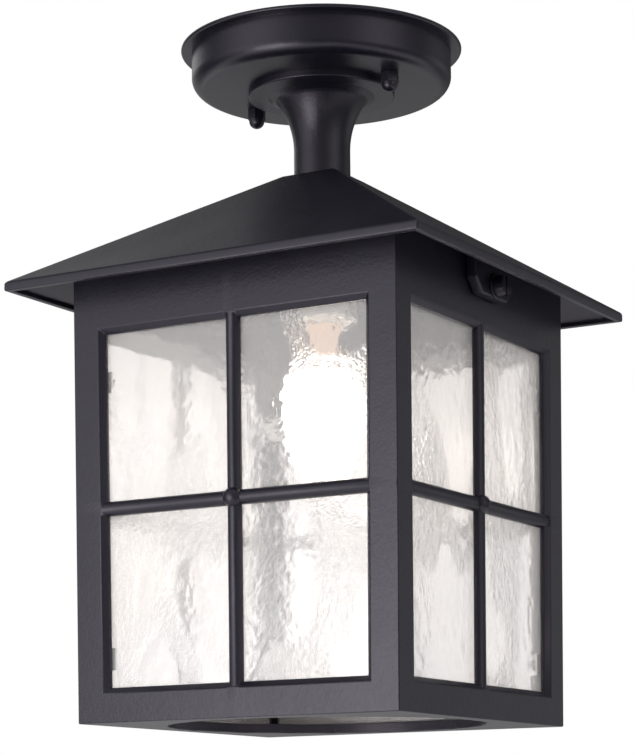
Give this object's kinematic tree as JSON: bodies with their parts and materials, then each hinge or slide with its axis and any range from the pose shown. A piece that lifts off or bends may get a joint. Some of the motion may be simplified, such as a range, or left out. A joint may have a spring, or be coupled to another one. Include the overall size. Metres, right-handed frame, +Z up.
{
  "type": "porch ceiling lantern",
  "caption": "Close-to-ceiling porch lantern: hipped roof and square glazed cage hung on a short flared stem from a round ceiling cover, with a candle lamp inside.",
  "frame": {"origin": "on the lantern's axis at the ceiling, midway between the ceiling bar's screw slots", "axes": "+Z up into the ceiling; the cage's faces look along +X, -X, +Y and -Y; -Y is the face seen on the left of the picture"},
  "size_m": [0.194, 0.194, 0.2926],
  "materials": {
    "coat_cast": "cast aluminium, satin charcoal-black powder coat with a fine texture",
    "coat_steel": "steel, satin charcoal-black powder coat",
    "zinc": "bright zinc plating",
    "brass": "plain brass",
    "tag_brass": "tinned copper colour",
    "earth_green": "green passivated steel screw",
    "nylon": "natural white nylon",
    "brown_pvc": "brown lead insulation",
    "blue_pvc": "blue lead insulation",
    "earth_pvc": "green and yellow lead insulation",
    "holder_shell_black": "black lacquered steel",
    "porcelain": "white glazed porcelain, opaque",
    "clear_glass": "clear glass with a waved surface",
    "opal_glass": "white opal lamp glass, lit",
    "lamp_metal": "nickel-plated lamp cap",
    "black_glass": "black vitrite insulator, opaque"
  },
  "bodies": {
    "ceiling_bar": {"ceiling_bar": "zinc"},
    "swivel": {"swivel_bar": "zinc", "swivel_eyelet": "brass", "cover_studs": "zinc", "stud_nuts": "zinc", "earth_screw": "earth_green"},
    "lantern": {"ceiling_cover": "coat_steel", "stem": "coat_cast", "threaded_tube": "zinc", "tube_washers": "zinc", "tube_nut_top": "zinc", "tube_nut_bottom": "zinc", "earth_tag": "tag_brass", "terminal_block": "nylon", "terminal_screws": "brass", "live_lead": "brown_pvc", "neutral_lead": "blue_pvc", "earth_lead": "earth_pvc", "roof": "coat_cast", "holder_cap": "holder_shell_black", "holder_body": "porcelain", "holder_shell": "brass", "holder_contact": "brass", "holder_terminals": "brass", "cage": "coat_cast", "glass_front": "clear_glass", "glass_right": "clear_glass", "glass_back": "clear_glass", "glass_left": "clear_glass", "glass_clips": "zinc", "clip_screws": "zinc", "lug_washers": "coat_steel"},
    "cap_nut_right": {"cap_nut_right": "coat_steel"},
    "cap_nut_left": {"cap_nut_left": "coat_steel"},
    "lug_screw_right": {"lug_screw_right": "coat_steel"},
    "lug_screw_left": {"lug_screw_left": "coat_steel"},
    "lamp": {"lamp_cap": "lamp_metal", "lamp_insulator": "black_glass", "lamp_contact": "lamp_metal", "lamp_globe": "opal_glass"}
  },
  "joints": [
    {"name": "swivel_turn", "type": "hinge", "parent": "ceiling_bar", "child": "swivel", "pos_m": [0, 0, 0], "axis": [0, 0, 1], "range_deg": [-45, 60]},
    {"name": "lantern_lower", "type": "slide", "parent": "swivel", "child": "lantern", "axis": [0, 0, -1], "range_m": [0, 0.03]},
    {"name": "cap_nut_right_off", "type": "slide", "parent": "lantern", "child": "cap_nut_right", "axis": [0, 0, -1], "range_m": [0, 0.012]},
    {"name": "cap_nut_left_off", "type": "slide", "parent": "lantern", "child": "cap_nut_left", "axis": [0, 0, -1], "range_m": [0, 0.012]},
    {"name": "lug_screw_right_out", "type": "slide", "parent": "lantern", "child": "lug_screw_right", "axis": [1, 0, 0], "range_m": [0, 0.005]},
    {"name": "lug_screw_left_out", "type": "slide", "parent": "lantern", "child": "lug_screw_left", "axis": [-1, 0, 0], "range_m": [0, 0.005]},
    {"name": "lamp_out", "type": "slide", "parent": "lantern", "child": "lamp", "axis": [0, 0, -1], "range_m": [0, 0.2]}
  ]
}
